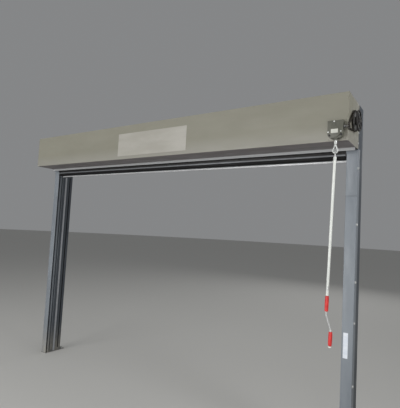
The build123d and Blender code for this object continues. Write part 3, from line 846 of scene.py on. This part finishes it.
def buildBottomBar():
    look = barLook
    top = barLow.z + look["foot"]
    # The web wears the near-black dark cast finish: partly a dark web and partly painted shade in the gap
    # under the hood's lip
    web = bar("bottom_bar_web", (barLow.x, webFront, top), (barHigh.x, webBack, barHigh.z))
    fit(soften(web, look["edge"]), "dark_cast", "bottom_bar")
    foot = bar("bottom_bar_foot", (sealLow.x, barLow.y, barLow.z), (sealHigh.x, barHigh.y, top))
    for y in (barLow.y + look["foot"], barHigh.y - look["foot"]):
        cutAcross(foot, (0, y, 0), (0, 1, 0))
    for way in (-1, 1):
        pickFaces(foot, lambda c, n: n.z > square and abs(c.z - top) < touch
                  and (c.y - barPlane) * way > barHigh.y - barPlane - look["foot"])
        push(0, 0, look["upturn"])
    wear(fit(soften(foot, look["edge"]), "mill_aluminium", "bottom_bar"), shadedFootAluminium)


buildBottomBar()
places = []
for x in evenly(sealLow.x, sealHigh.x, barLook["boltInset"], barLook["boltPitch"]):
    for way, y in (("front", webFront), ("back", webBack)):
        places += facing(way, [(x, y, barLow.z + barLook["boltRaise"])])
fasten(smallBolt, "bottom_bar_bolts", places, "dark_cast")

seal = roundEdges(bar("bottom_seal_loop", sealLow, sealHigh), barLook["sealRound"], 8,
                  lambda a, b: abs(a.x - b.x) > 1 and max(a.z, b.z) < sealLow.z + touch)
for end in (-1, 1):
    pickFaces(seal, lambda c, n: n.x * end > square)
    bpy.ops.mesh.inset(thickness=barLook["sealWall"])
    push(-end * barLook["sealHollow"], 0, 0)
fit(smooth(seal, 40), "black_rubber", "bottom_seal")
print("bottom bar modelled")


# Slat ends on the outer turn of the wound curtain, and the bearings that carry the barrel

lockLook = {"pitch": 0.067, "slat": 0.008, "runningGap": 0.0003, "growth": 0.019, "slats": 39,
            "length": 0.05, "width": 0.034, "thickness": 0.005, "reach": 0.005, "edge": 0.0015,
            "corner": 0.25, "stud": 0.013, "studGrowth": 2}
barrelLow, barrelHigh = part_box("barrel_pipe")
barrelMiddle = middleOf("barrel_pipe")
coilLow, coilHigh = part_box("curtain_coil")


def coilJoints():
    look = lockLook
    seat = (barrelHigh.z - barrelLow.z) / 2 + look["runningGap"] + look["slat"] / 2
    radius = sqrt(seat ** 2 + (look["pitch"] / 2) ** 2)
    angle = 0.0
    found = [(radius, angle)]
    for _ in range(look["slats"]):
        step = 2 * asin(look["pitch"] / 2 / radius)
        angle -= step
        radius += look["growth"] / (2 * pi) * step
        found.append((radius, angle))
    return [(r, a - angle) for r, a in found]


def buildEndLocks():
    look = lockLook
    half, thickness = look["width"] / 2, look["thickness"]
    lock = roundEdges(bar("endLock", (-half, -look["length"] / 2, 0), (half, look["length"] / 2, thickness)),
                      look["width"] * look["corner"], 3, lambda a, b: abs(a.z - b.z) > thickness / 2)
    soften(lock, look["edge"])
    studs = spread(tinyRivet, "endLockStuds", [((0, y, thickness), Matrix.Scale(look["studGrowth"], 4))
                                               for y in (-look["stud"], look["stud"])])
    lock = joined("endLock", lock, studs)
    joints = coilJoints()
    outerTurn = [pair for pair in zip(joints, joints[1:]) if pair[1][1] < 2 * pi]
    places = []
    for pair in outerTurn[::2]:
        first, second = [Vector((0, barrelMiddle.y + r * cos(a), barrelMiddle.z + r * sin(a)))
                         for r, a in pair]
        centre = (first + second) / 2
        outwards = Vector((0, centre.y - barrelMiddle.y, centre.z - barrelMiddle.z)).normalized()
        run = (second - first).normalized()
        turn = Matrix((run.cross(outwards), run, outwards)).transposed().to_4x4()
        for x, end in ((coilLow.x, -1), (coilHigh.x, 1)):
            spot = centre + outwards * look["slat"] / 2
            spot.x = x + end * (look["reach"] - half)
            places.append((spot, turn))
    fasten(lock, "curtain_end_locks", places, "cast_housing")
    removeShape(lock)


bearingLook = {"bore": 0.0153, "flange": 0.042, "flangeThickness": 0.008, "boss": 0.029,
               "length": 0.02, "draft": 0.002, "edge": 0.0012, "bolts": 4, "boltCircle": 0.0345,
               "outerCircle": 0.031, "rows": 4, "plateEdge": 0.0008}


def buildBearing(side, out):
    look = bearingLook
    thickness = look["flangeThickness"]
    profile = [(look["bore"], 0), (look["flange"], 0), (look["flange"], thickness),
               (look["boss"] + look["draft"], thickness), (look["boss"], look["length"]),
               (look["bore"], look["length"])]
    casting = soften(turned(f"{side}_bearing_casting", profile, 40, closed=True), look["edge"])
    seat = Vector((faceX(f"{side}_bearing", out), barrelMiddle.y, barrelMiddle.z))
    inwards = "left" if out > 0 else "right"
    fit(moveTo(casting, seat, towards[inwards]), "cast_housing", f"{side}_bearing")
    outerX = faceX(f"{side}_end_plate", out)
    inner, outer = [], []
    for k in range(look["bolts"]):
        turn = 2 * pi * (k + 0.5) / look["bolts"]
        offset = Vector((0, cos(turn), sin(turn)))
        inner.append(seat + offset * look["boltCircle"] - Vector((out * thickness, 0, 0)))
        outer.append(Vector((outerX, seat.y, seat.z)) + offset * look["outerCircle"])
    fasten(smallBolt, f"{side}_bearing_bolts", facing(inwards, inner))
    low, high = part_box(f"{side}_bracket_angle")
    for k in range(look["rows"]):
        z = low.z + (high.z - low.z) * (k + 0.5) / look["rows"]
        outer.append((outerX, (low.y + high.y) / 2, z))
    fasten(smallBolt, f"{side}_bracket_bolts", facing(side, outer))
    for part, slot in (("end_plate", "hood_paint"), ("bracket_angle", "bracket_paint")):
        dressedCopy(f"{side}_{part}", f"{side}_{part}_cut", slot, look["plateEdge"])


buildEndLocks()
for side, out in sides.items():
    buildBearing(side, out)
print("coil ends, bearings and brackets modelled")


# Hood screws, and the blank films on the hood and the right guide

hoodLook = {"screwInset": 0.0055, "frontScrews": (0.037, 0.18, 0.32), "topScrews": (0.05, 0.17, 0.3)}
places = []
for x in (hoodLow.x + hoodLook["screwInset"], hoodHigh.x - hoodLook["screwInset"]):
    places += facing("front", [(x, hoodLow.y, hoodFloor + raised) for raised in hoodLook["frontScrews"]])
    places += facing("up", [(x, hoodLow.y + back, hoodHigh.z) for back in hoodLook["topScrews"]])
fasten(sheetScrew, "hood_screws", places, "hood_paint")


def roundedSheet(name, low, high, corner):
    sheet = roundEdges(bar(name, low, high), corner, 4,
                       lambda a, b: abs(a.y - b.y) > (b - a).length * square)
    return smooth(sheet, 30)


def stickFilm(name, front, slot, look, finish):
    low = (look["left"], front - look["thickness"], look["low"])
    sheet = roundedSheet(name, low, (look["right"], front, look["high"]), look["corner"])
    wear(fit(sheet, slot), finish)


filmLook = {"left": 1.47, "right": 2.395, "low": 2.505, "high": 2.748, "thickness": 0.0003,
            "corner": 0.004}
stripLook = {"left": 3.8165, "right": 3.852, "low": 0.829, "high": 1.023, "thickness": 0.0004,
             "corner": 0.003}
filmSkin = {"stretch": (0.4, 1, 1.5), "gloss": 0.5, "coat": 0.5, "coatRough": 0.2, "grain": 90.0,
            "grainDepth": 0.00012, "wave": 14.0, "waveDepth": 0.0006}
clearFilm = softStuff("clearFilm", {**filmSkin, "cloud": 5.0, "dark": (162, 159, 150),
                                    "light": (171, 168, 160), "rough": (0.3, 0.45)})
whiteStrip = softStuff("whiteStrip", {**filmSkin, "cloud": 22.0, "dark": (206, 214, 226),
                                      "light": (226, 231, 238), "rough": (0.3, 0.5)})
stickFilm("hood_film", hoodLow.y, "hood_paint", filmLook, clearFilm)
stickFilm("guide_strip", guideFront, "guide_paint", stripLook, whiteStrip)
print("hood screws and films modelled")


# Gearbox

gearLook = {"edge": 0.0028, "plateEdge": 0.0008, "coverDepth": 0.008, "boss": 0.012,
            "leftScrew": 0.006, "rightScrew": 0.0395, "screwRaise": 0.047, "topScrewDrop": 0.007,
            "topScrewShift": -0.008, "flangeBolts": (-0.04, 0.044), "boltRaise": 0.023,
            "plateScrew": 0.0065, "nameWidth": 0.05, "nameHeight": 0.03, "nameThickness": 0.0008,
            "nameRaise": 0.051, "nameShift": -0.0035, "nameCorner": 0.003, "rivetInset": 0.004,
            "ribPitch": 0.026, "ribWidth": 0.004, "ribDepth": 0.0018, "ribHeight": 0.03,
            "ribDrop": 0.048, "ribEdge": 0.0008}
housingLow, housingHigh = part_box("gearbox_housing")
plateLow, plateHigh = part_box("gearbox_plate")
housingFront = housingLow.y + gearLook["coverDepth"]
gearMiddle = (housingLow.x + housingHigh.x) / 2
housingBottom = housingLow.z + gearLook["boss"]       # the boss stands out below it
dressedCopy("gearbox_plate", "gearbox_plate_cut", "hood_paint", gearLook["plateEdge"])
dressedCopy("gearbox_housing", "gearbox_casting", "gearbox_paint", gearLook["edge"], 3, 50)


def buildGearboxTrim():
    look = gearLook
    rib = soften(bar("rib", (-look["ribWidth"] / 2, -look["ribDepth"], 0),
                     (look["ribWidth"] / 2, 0, look["ribHeight"])), look["ribEdge"])
    z = housingHigh.z - look["ribDrop"]
    spots = [(gearMiddle + k * look["ribPitch"], housingFront, z) for k in (-1, 0, 1)]
    fasten(rib, "gearbox_ribs", facing("up", spots), "gearbox_paint")
    removeShape(rib)
    z = housingBottom + look["screwRaise"]
    spots = [(housingLow.x + look["leftScrew"], housingFront, z),
             (gearMiddle + look["rightScrew"], housingFront, z),
             (gearMiddle + look["topScrewShift"], housingFront, housingHigh.z - look["topScrewDrop"])]
    fasten(housingScrew, "gearbox_screws", facing("front", spots))
    z = housingBottom + look["boltRaise"]
    spots = [(gearMiddle + x, housingFront, z) for x in look["flangeBolts"]]
    fasten(smallBolt, "gearbox_flange_bolts", facing("front", spots), "dark_cast")
    inset = look["plateScrew"]
    spots = [(x, plateLow.y, z) for x in (plateLow.x + inset, plateHigh.x - inset)
             for z in (plateLow.z + inset, plateHigh.z - inset)]
    fasten(smallScrew, "gearbox_plate_screws", facing("front", spots), "hood_paint")

    half = Vector((look["nameWidth"] / 2, 0, look["nameHeight"] / 2))
    middle = Vector((gearMiddle + look["nameShift"], housingLow.y, housingBottom + look["nameRaise"]))
    front = Vector((0, look["nameThickness"], 0))
    plate = roundedSheet("gearbox_blank_plate", middle - half - front, middle + half, look["nameCorner"])
    x, z = half.x - look["rivetInset"], half.z - look["rivetInset"]
    spots = [middle - front + Vector((dx * x, 0, dz * z)) for dx in (-1, 1) for dz in (-1, 1)]
    rivets = spread(tinyRivet, "gearbox_blank_rivets", facing("front", spots))
    wear(fit(joined("gearbox_blank_plate", plate, rivets), "mill_aluminium"), blankAluminium)


buildGearboxTrim()
print("gearbox modelled")


# Chain drive at the right end

driveLook = {"rollerRadius": 0.0042, "rollerWidth": 0.0068, "plateThickness": 0.0014, "waist": 0.72,
             "waistReach": 0.2, "innerPlate": 0.0044, "outerPlate": 0.0060, "pinRadius": 0.002,
             "links": 58, "smallTeeth": 9, "largeTeeth": 38, "toothTip": 0.0042, "toothRoot": 0.0046,
             "toothShift": 0.13, "sprocketEdge": 0.0006, "runningGap": 0.0003, "hubLength": 0.005,
             "hubOverlap": 0.001, "hubEdge": 0.0008, "smallHub": 0.0125, "largeHub": 0.034,
             "wheelEdge": 0.002}
chainLow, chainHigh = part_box("drive_chain")
smallCentre = middleOf("drive_sprocket")
largeCentre = middleOf("barrel_sprocket")


def nodeRadius(node):
    low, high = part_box(node)
    return (high.z - low.z) / 2


linkHalf = chainHigh.y - largeCentre.y - nodeRadius("barrel_sprocket")
linkHalf = (linkHalf - driveLook["runningGap"]) / 2
smallPitch = nodeRadius("drive_sprocket") + linkHalf + driveLook["runningGap"]
largePitch = nodeRadius("barrel_sprocket") + linkHalf + driveLook["runningGap"]
stepY, stepZ = largeCentre.y - smallCentre.y, largeCentre.z - smallCentre.z
centreGap = sqrt(stepY ** 2 + stepZ ** 2)
spreadAngle = asin((largePitch - smallPitch) / centreGap)
straight = centreGap * cos(spreadAngle)
largeArc = (pi + 2 * spreadAngle) * largePitch
chainLength = 2 * straight + largeArc + (pi - 2 * spreadAngle) * smallPitch


def around(centre, turn, radius):
    return centre + Vector((0, cos(turn), sin(turn))) * radius


def chainPoint(distance):
    heading = atan2(stepZ, stepY)
    upper = heading + pi / 2 + spreadAngle
    lower = heading - pi / 2 - spreadAngle
    distance %= chainLength
    if distance < straight:
        start, end = around(smallCentre, upper, smallPitch), around(largeCentre, upper, largePitch)
        return start.lerp(end, distance / straight)
    distance -= straight
    if distance < largeArc:
        return around(largeCentre, upper - distance / largePitch, largePitch)
    distance -= largeArc
    if distance < straight:
        start, end = around(largeCentre, lower, largePitch), around(smallCentre, lower, smallPitch)
        return start.lerp(end, distance / straight)
    return around(smallCentre, lower - (distance - straight) / smallPitch, smallPitch)


def chainLink(name, pitch, plateAt, endRadius, endWidth):
    look = driveLook
    half = look["plateThickness"] / 2
    pieces = []
    for x in (-plateAt, plateAt):
        plate = drum(name + "Plate", linkHalf, x - half, x + half, 14)
        pickPoints(plate, lambda p: p.x > touch)
        bpy.ops.transform.translate(value=(pitch, 0, 0))
        pickEdges(plate, lambda a, b: abs(a.x - b.x) > pitch / 2 and abs(a.z - b.z) < touch)
        bpy.ops.mesh.subdivide(number_cuts=1)
        pickPoints(plate, lambda p: abs(p.x - pitch / 2) < pitch * look["waistReach"])
        bpy.ops.transform.resize(value=(1, look["waist"], 1), center_override=(0, 0, 0))
        leaveEdit()
        pieces.append(plate)
    for x in (0, pitch):
        end = drum(name + "End", endRadius, -endWidth / 2, endWidth / 2, 12)
        end.location.x = x
        pieces.append(settle(end))
    return joined(name, *pieces)


def buildChain():
    look = driveLook
    pitch = chainLength / look["links"]
    inner = chainLink("innerLink", pitch, look["innerPlate"], look["rollerRadius"], look["rollerWidth"])
    outer = chainLink("outerLink", pitch, look["outerPlate"], look["pinRadius"], chainHigh.x - chainLow.x)
    runs = {"inner": [], "outer": []}
    for k in range(look["links"]):
        here = chainPoint(k * pitch)
        run = (chainPoint((k + 1) * pitch) - here).normalized()
        here.x = (chainLow.x + chainHigh.x) / 2
        runs["inner" if k % 2 else "outer"].append((here, turnTo(run, Vector((1, 0, 0)))))
    chain = joined("drive_chain_links", spread(inner, "innerLinks", runs["inner"]),
                   spread(outer, "outerLinks", runs["outer"]))
    removeShape(inner)
    removeShape(outer)
    fit(smooth(chain, 40), "chain_steel", "drive_chain")


def buildSprocket(name, node, teeth, pitchRadius, hubRadius):
    look = driveLook
    low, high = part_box(node)
    root = pitchRadius - look["toothRoot"]
    growth = (pitchRadius + look["toothTip"]) / root
    clearSelection()
    bpy.ops.mesh.primitive_circle_add(vertices=teeth * 4, radius=root, fill_type="NGON")
    wheel = named(name)
    pickPoints(wheel, lambda p: (atan2(p.y, p.x) * teeth / (2 * pi) + look["toothShift"]) % 1 < 0.5)
    bpy.ops.transform.resize(value=(growth, growth, 1), center_override=(0, 0, 0))
    takeAll()
    push(0, 0, high.x - low.x)
    takeAll()
    bpy.ops.mesh.normals_make_consistent(inside=False)
    soften(wheel, look["sprocketEdge"], 1, 60)
    hub = drum(name + "Hub", hubRadius, -look["hubLength"], look["hubOverlap"], 28)
    wheel = joined(name, wheel, soften(hub, look["hubEdge"]))
    moveTo(wheel, (low.x, middleOf(node).y, middleOf(node).z), towards["right"])
    fit(wheel, "machined_steel", node)


buildChain()
buildSprocket("drive_sprocket_teeth", "drive_sprocket", driveLook["smallTeeth"], smallPitch,
              driveLook["smallHub"])
buildSprocket("barrel_sprocket_teeth", "barrel_sprocket", driveLook["largeTeeth"], largePitch,
              driveLook["largeHub"])
dressedCopy("adjusting_wheel", "adjusting_wheel_cast", "dark_cast", driveLook["wheelEdge"], 2, 45)
print("chain drive modelled")


# Grips and cross pin on the crank

def jointOf(body):
    return next(joint for joint in frame["joints"] if joint["child"] == body)


pinLook = {"below": 0.062, "radius": 0.003, "head": 0.0042, "half": 0.019, "headLength": 0.003,
           "chamfer": 0.0006}


def buildCrankPin():
    look = pinLook
    neck = look["half"] - look["headLength"]
    rim = look["half"] - look["chamfer"]
    profile = [(0, -look["half"]), (look["head"], -rim), (look["head"], -neck), (look["radius"], -neck),
               (look["radius"], neck), (look["head"], neck), (look["head"], rim), (0, look["half"])]
    pin = turned("crank_cross_pin", profile, 20)
    axis = Vector(jointOf("upper_grip_sleeve")["axis"]).normalized()
    moveTo(pin, Vector(jointOf("crank")["pos_m"]) - axis * look["below"], towards["right"])
    fit(smooth(pin, 35), "zinc_steel", body="crank")


gripLook = {"upper": 0.111, "lower": 0.097, "bore": 0.0063, "belly": 0.014, "neck": 0.0122,
            "lipHeight": 0.004, "chamfer": 0.002, "chamferHeight": 0.0015, "fullness": 0.6,
            "sections": 10}


def gripProfile(length):
    look = gripLook
    end = look["neck"] - look["chamfer"]
    points = [(look["bore"], 0), (end, 0), (look["neck"], look["chamferHeight"])]
    usable = length - 2 * look["lipHeight"]
    for k in range(look["sections"] + 1):
        share = k / look["sections"]
        radius = look["neck"] + (look["belly"] - look["neck"]) * sin(pi * share) ** look["fullness"]
        points.append((radius, look["lipHeight"] + usable * share))
    return points + [(look["neck"], length - look["chamferHeight"]), (end, length),
                     (look["bore"], length)]


def buildGrip(which):
    length = gripLook[which]
    grip = turned(f"{which}_red_grip", gripProfile(length), 36, closed=True)
    joint = jointOf(f"{which}_grip_sleeve")
    axis = Vector(joint["axis"]).normalized()
    turn = Vector((0, 0, 1)).rotation_difference(axis).to_matrix().to_4x4()
    moveTo(grip, Vector(joint["pos_m"]) - axis * length, turn)
    fit(smooth(grip, 40), "red_grip", f"{which}_grip", body=f"{which}_grip_sleeve")


buildCrankPin()
for which in ("upper", "lower"):
    buildGrip(which)
for pattern in (guideBolt, smallBolt, housingScrew, sheetScrew, smallScrew, tinyRivet):
    removeShape(pattern)
print("grips modelled")


# Floor, light and camera

stageLook = {"floorRadius": 60, "floor": (200, 199, 195), "roughness": 0.9, "sky": (236, 238, 240),
             "skyStrength": 0.28}


def buildStage(look):
    clearSelection()
    bpy.ops.mesh.primitive_circle_add(vertices=96, radius=look["floorRadius"], fill_type="NGON")
    floor = named("floor")
    material = bpy.data.materials.new("paleFloor")
    material.use_nodes = True
    surface = material.node_tree.nodes["Principled BSDF"]
    surface.inputs["Base Color"].default_value = tint(look["floor"])
    surface.inputs["Roughness"].default_value = look["roughness"]
    floor.data.materials.append(material)

    world = bpy.data.worlds.new("paleRoom")
    world.use_nodes = True
    background = world.node_tree.nodes["Background"]
    background.inputs["Color"].default_value = tint(look["sky"])
    background.inputs["Strength"].default_value = look["skyStrength"]
    bpy.context.scene.world = world


lights = {
    "key": {"place": (0.1, -8.0, 2.3), "aim": (1.7, 0, 1.9), "size": 5.0, "power": 402},
    "above": {"place": (2.0, -1.5, 7.5), "aim": (2.0, -1.4, 0), "size": 7.0, "power": 110},
    "low": {"place": (4.7, -2.4, 1.5), "aim": (3.85, 0, 1.5), "size": 1.2, "power": 12},
    "side": {"place": (5.7, -0.4, 2.8), "aim": (3.9, -0.2, 2.5), "size": 0.8, "power": 20},
    "behind": {"place": (2.0, 9.0, 5.5), "aim": (2.0, 0, 1.8), "size": 6.0, "power": 110},
}


def addLight(name, look):
    light = bpy.data.lights.new(name, "AREA")
    light.shape = "DISK"
    light.size = look["size"]
    light.energy = look["power"]
    lamp = bpy.data.objects.new(name, light)
    bpy.context.scene.collection.objects.link(lamp)
    lamp.location = look["place"]
    lamp.rotation_euler = (Vector(look["aim"]) - lamp.location).to_track_quat("-Z", "Y").to_euler()


cameraLook = {"place": (4.5223, -3.1633, 1.769), "yaw": 0.601, "pitch": 0.065, "roll": 0.054,
              "focal": 372.48, "frameHeight": 408}     # focal length and frame in pixels


def addCamera(look):
    lens = bpy.data.cameras.new("camera")
    lens.sensor_width = 36
    lens.lens = look["focal"] * lens.sensor_width / look["frameHeight"]
    camera = bpy.data.objects.new("camera", lens)
    bpy.context.scene.collection.objects.link(camera)
    camera.matrix_world = (Matrix.Translation(look["place"]) @ Matrix.Rotation(look["yaw"], 4, "Z")
                           @ Matrix.Rotation(look["pitch"] + pi / 2, 4, "X")
                           @ Matrix.Rotation(look["roll"], 4, "Z"))
    bpy.context.scene.camera = camera


buildStage(stageLook)
for name, look in lights.items():
    addLight(name, look)
addCamera(cameraLook)
bpy.context.scene.view_settings.view_transform = "Standard"
print("stage, lights and camera ready")
